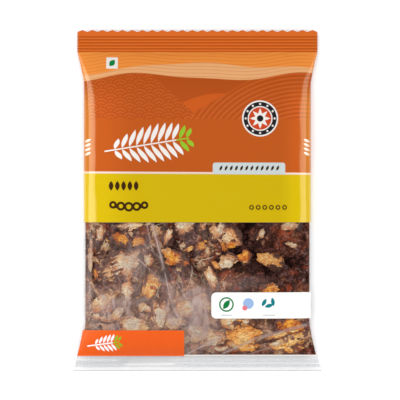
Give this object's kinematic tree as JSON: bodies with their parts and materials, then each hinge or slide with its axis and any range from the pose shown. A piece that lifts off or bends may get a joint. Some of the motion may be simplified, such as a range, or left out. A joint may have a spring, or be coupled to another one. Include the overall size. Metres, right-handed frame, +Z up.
{
  "type": "pouch of tamarind pulp",
  "caption": "Flat heat-sealed film pouch filled with pressed lumps of deseeded tamarind pulp, with a ribbed crimp on top and a clear front window.",
  "frame": {"origin": "under the middle of the pouch, on the surface that it lies on", "axes": "+Z up out of the printed front, +Y along the pouch towards its crimped top seal, +X across it"},
  "size_m": [0.1554, 0.213, 0.018],
  "materials": {
    "printed_film": "gloss",
    "fruit_pulp": "satin",
    "cream_lining": "matte",
    "amber_lining": "satin"
  },
  "bodies": {
    "root": {"pouch_film": "printed_film", "pulp_01": "fruit_pulp", "pulp_02": "fruit_pulp", "pulp_03": "fruit_pulp", "pulp_04": "fruit_pulp", "pulp_05": "fruit_pulp", "pulp_06": "fruit_pulp", "pulp_07": "fruit_pulp", "pulp_08": "fruit_pulp", "pulp_09": "fruit_pulp", "pulp_10": "fruit_pulp", "pulp_11": "fruit_pulp", "pulp_12": "fruit_pulp", "pulp_13": "fruit_pulp", "pulp_14": "fruit_pulp", "pulp_15": "fruit_pulp", "pulp_16": "fruit_pulp", "pulp_17": "fruit_pulp", "pulp_18": "fruit_pulp", "pulp_19": "fruit_pulp", "pulp_20": "fruit_pulp", "pulp_21": "fruit_pulp", "pulp_22": "fruit_pulp", "pulp_23": "fruit_pulp", "pulp_24": "fruit_pulp", "lining_01": "cream_lining", "lining_02": "amber_lining", "lining_03": "cream_lining", "lining_04": "cream_lining", "lining_05": "amber_lining", "lining_06": "cream_lining", "lining_07": "cream_lining", "lining_08": "amber_lining", "lining_09": "cream_lining", "lining_10": "cream_lining", "lining_11": "cream_lining", "lining_12": "amber_lining", "lining_13": "cream_lining", "lining_14": "cream_lining", "lining_15": "cream_lining", "lining_16": "amber_lining", "lining_17": "cream_lining", "lining_18": "amber_lining"}
  },
  "joints": []
}
